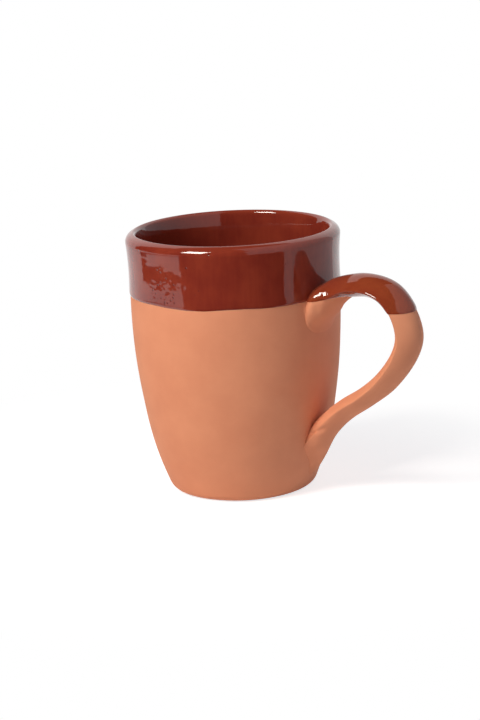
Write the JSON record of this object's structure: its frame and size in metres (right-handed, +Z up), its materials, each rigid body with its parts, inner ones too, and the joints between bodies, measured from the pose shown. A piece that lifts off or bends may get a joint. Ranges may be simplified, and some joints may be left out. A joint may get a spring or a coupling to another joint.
{
  "type": "clay mug",
  "caption": "Red clay mug, a rounded thrown cup with a pulled loop handle, bare clay below and dark red-brown glaze inside, over the lip and on the handle's arch.",
  "frame": {"origin": "middle of the foot, on the surface that the mug stands on", "axes": "+Z up along the cup's axis, +X from the axis towards the handle, XZ the plane of symmetry"},
  "size_m": [0.1242, 0.084, 0.103],
  "materials": {
    "clay": "matte",
    "slip": "matte",
    "glaze": "gloss"
  },
  "bodies": {
    "root": {"cup_body": "clay", "handle": "clay", "upper_slip_joint": "slip", "lower_slip_joint": "slip", "liner_glaze": "glaze", "band_glaze": "glaze", "handle_glaze": "glaze"}
  },
  "joints": []
}
